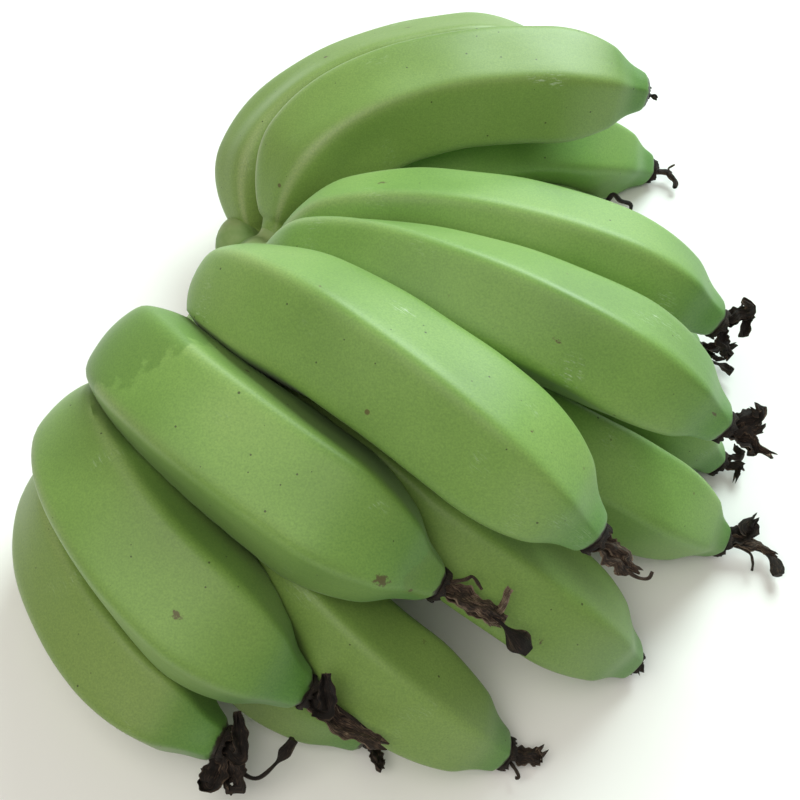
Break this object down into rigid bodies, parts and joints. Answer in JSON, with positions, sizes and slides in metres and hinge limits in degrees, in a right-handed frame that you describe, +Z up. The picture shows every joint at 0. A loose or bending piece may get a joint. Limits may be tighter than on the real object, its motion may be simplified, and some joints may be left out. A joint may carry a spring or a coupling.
{
  "type": "hand of green plantains",
  "caption": "Hand of green plantains lying palm down, two rows of curved ridged fruits on one crown, with dried flowers at the tips.",
  "frame": {"origin": "middle of the hand's footprint on the surface that it lies on", "axes": "+Z up, +X from the crown towards the fruits' tips, +Y along the fan of fruits towards its far end"},
  "size_m": [0.3609, 0.4124, 0.157],
  "materials": {
    "peel": "waxy satin green peel, smooth with a fine grain",
    "crown": "fibrous green crown, cut and browned on its inner face",
    "dried_flower": "dry, wrinkled, matt near-black flower remnant"
  },
  "bodies": {
    "root": {"crown": "crown", "outer_fruit_1": "peel", "outer_fruit_2": "peel", "outer_fruit_3": "peel", "outer_fruit_4": "peel", "outer_fruit_5": "peel", "outer_fruit_6": "peel", "outer_fruit_7": "peel", "outer_fruit_8": "peel", "inner_fruit_1": "peel", "inner_fruit_2": "peel", "inner_fruit_3": "peel", "inner_fruit_4": "peel", "inner_fruit_5": "peel", "inner_fruit_6": "peel", "inner_fruit_7": "peel", "inner_fruit_8": "peel", "outer_flower_1": "dried_flower", "outer_flower_2": "dried_flower", "outer_flower_3": "dried_flower", "outer_flower_4": "dried_flower", "outer_flower_5": "dried_flower", "outer_flower_6": "dried_flower", "outer_flower_7": "dried_flower", "outer_flower_8": "dried_flower", "inner_flower_1": "dried_flower", "inner_flower_2": "dried_flower", "inner_flower_3": "dried_flower", "inner_flower_4": "dried_flower", "inner_flower_5": "dried_flower", "inner_flower_6": "dried_flower", "inner_flower_7": "dried_flower", "inner_flower_8": "dried_flower"}
  },
  "joints": []
}
